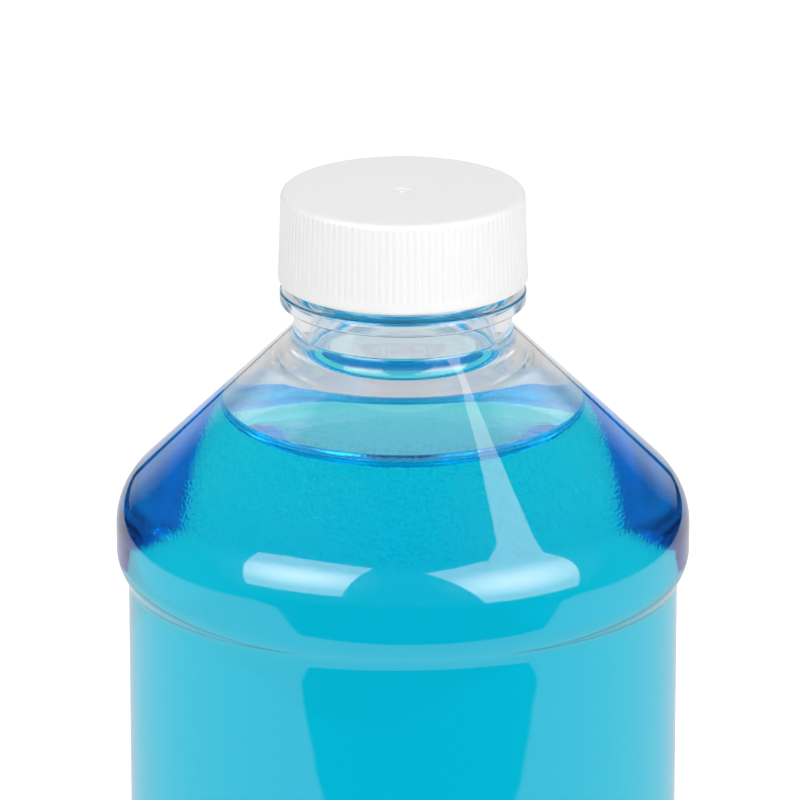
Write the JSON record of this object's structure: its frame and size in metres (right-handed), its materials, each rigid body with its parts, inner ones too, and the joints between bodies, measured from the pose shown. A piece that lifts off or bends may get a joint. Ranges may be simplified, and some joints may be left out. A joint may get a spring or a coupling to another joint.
{
  "type": "mouthwash bottle",
  "caption": "Round clear mouthwash bottle with a sloping shoulder, bumper rings above and below a recessed label panel, and a ribbed screw cap.",
  "frame": {"origin": "on the bottle's axis, in the plane that its standing ring rests on", "axes": "+Z along the bottle's axis, up through the cap; the front, where the thread starts beside it at +X, faces -Y"},
  "size_m": [0.0702, 0.0702, 0.1675],
  "materials": {
    "clear_bottle": "gloss",
    "white_cap": "satin",
    "foam_liner": "matte",
    "seal_foil": "satin",
    "blue_liquid": "gloss"
  },
  "bodies": {
    "bottle": {"bottle": "clear_bottle", "mouthwash": "blue_liquid"},
    "liner": {"liner": "foam_liner", "foil_seal": "seal_foil"},
    "cap": {"cap": "white_cap"}
  },
  "joints": [
    {"name": "cap_rise", "type": "slide", "parent": "bottle", "child": "liner", "axis": [0, 0, 1], "range_m": [0, 0.0254]},
    {"name": "cap_turn", "type": "hinge", "parent": "liner", "child": "cap", "pos_m": [0, 0, 0.15625], "axis": [0, 0, 1], "range_deg": [0, 2160]}
  ],
  "couplings": [
    {"joint": "cap_rise", "follows": "cap_turn", "m_per_rad": 0.0006737}
  ]
}
